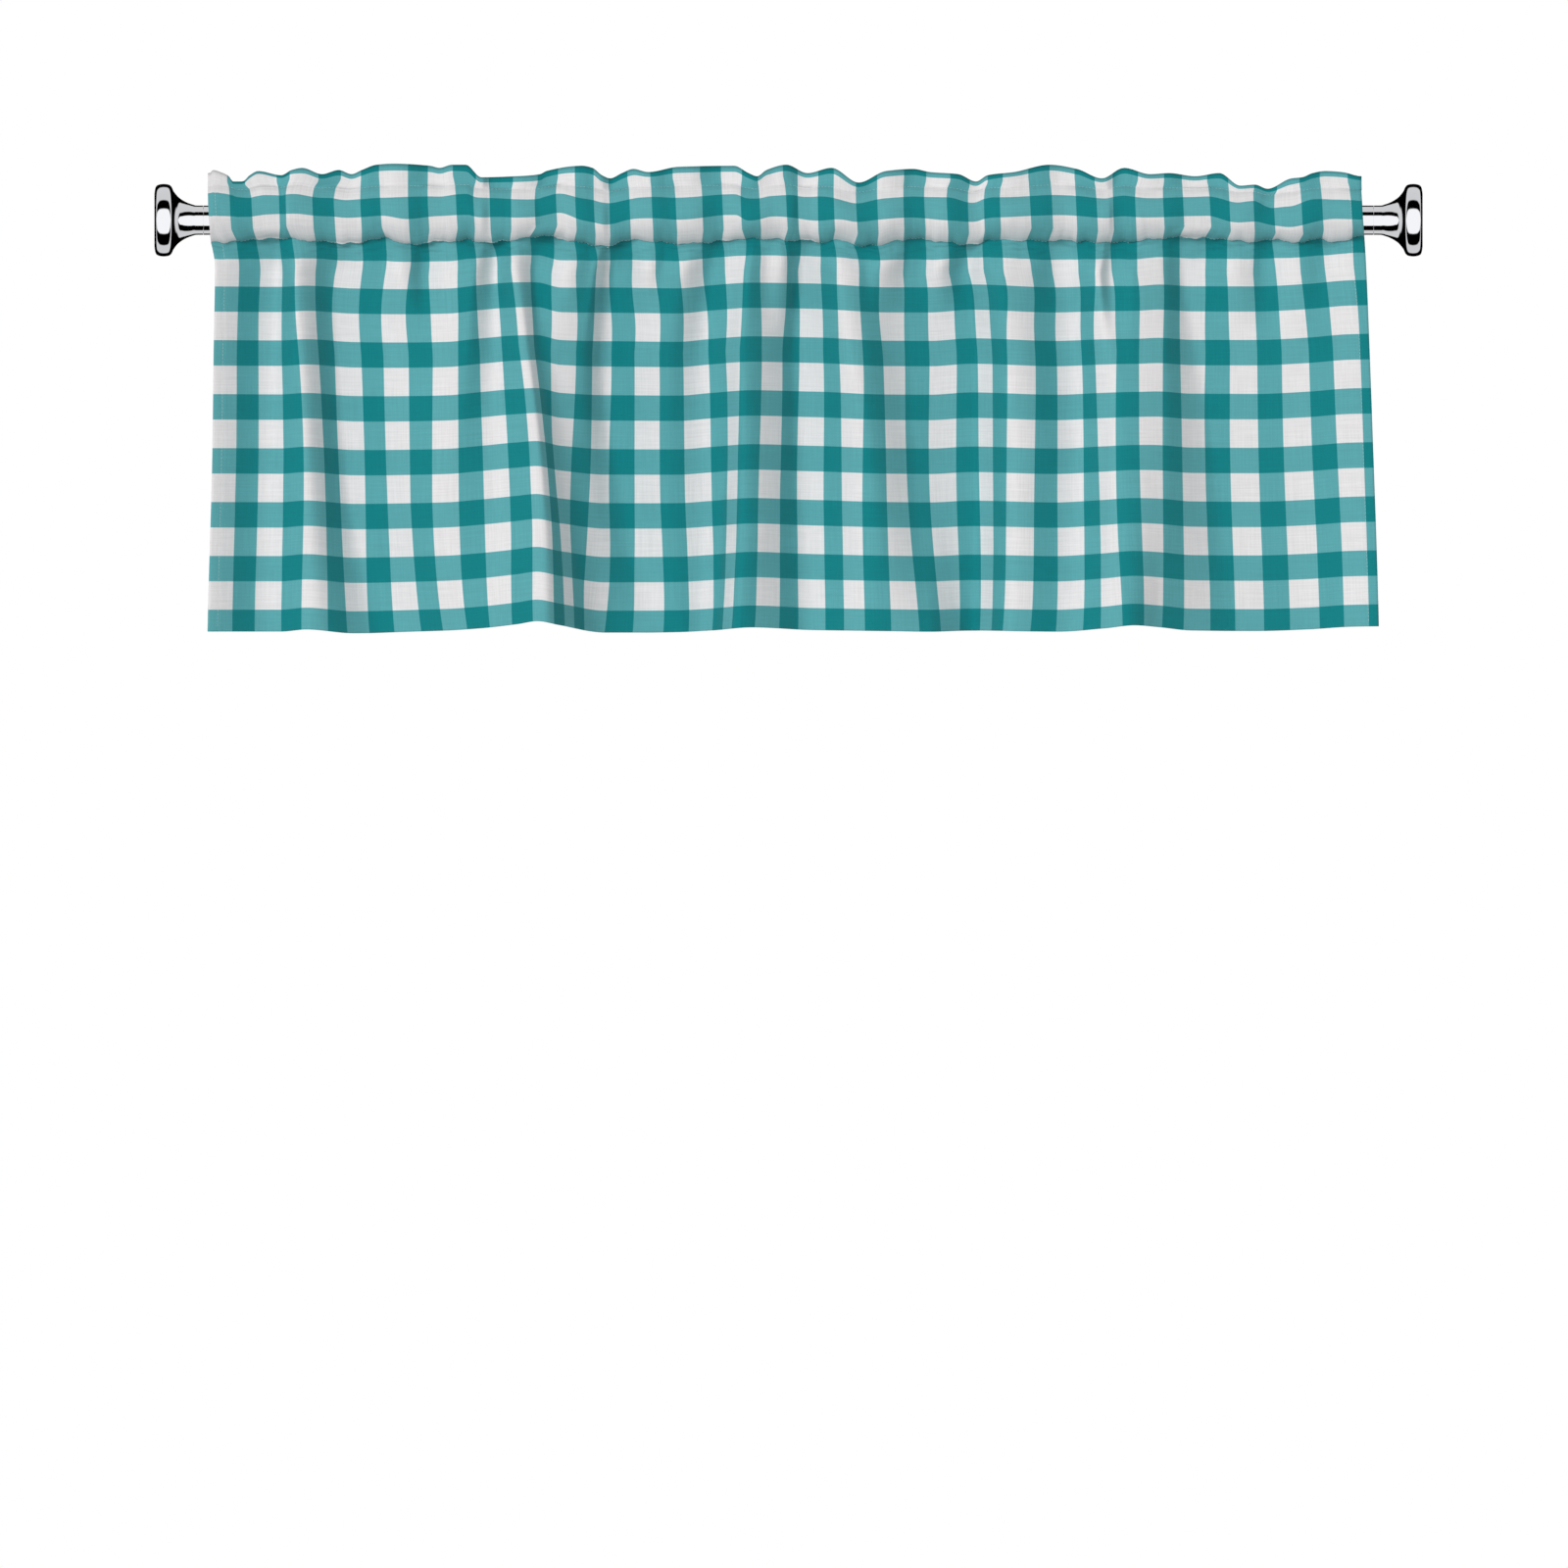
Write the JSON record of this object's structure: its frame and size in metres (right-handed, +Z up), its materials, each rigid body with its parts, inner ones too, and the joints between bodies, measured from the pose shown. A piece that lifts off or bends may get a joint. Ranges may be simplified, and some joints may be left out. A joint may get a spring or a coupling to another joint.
{
  "type": "gathered window valance on its pole",
  "caption": "Short checked cotton valance with a ruffled heading, gathered on a plain round chrome pole whose two flared feet are held between side walls.",
  "frame": {"origin": "middle of the left foot's flat outer face, on the pole's axis", "axes": "+X along the pole from the left foot to the right one, -Y towards the room, +Z up"},
  "size_m": [1.21, 0.1241, 0.4476],
  "materials": {
    "checked_cotton": "plain-woven cotton in a white and teal gingham check, matt",
    "polished_chrome": "polished chrome plate"
  },
  "bodies": {
    "root": {"valance": "checked_cotton", "pole": "polished_chrome", "left_foot": "polished_chrome", "right_foot": "polished_chrome"}
  },
  "joints": []
}
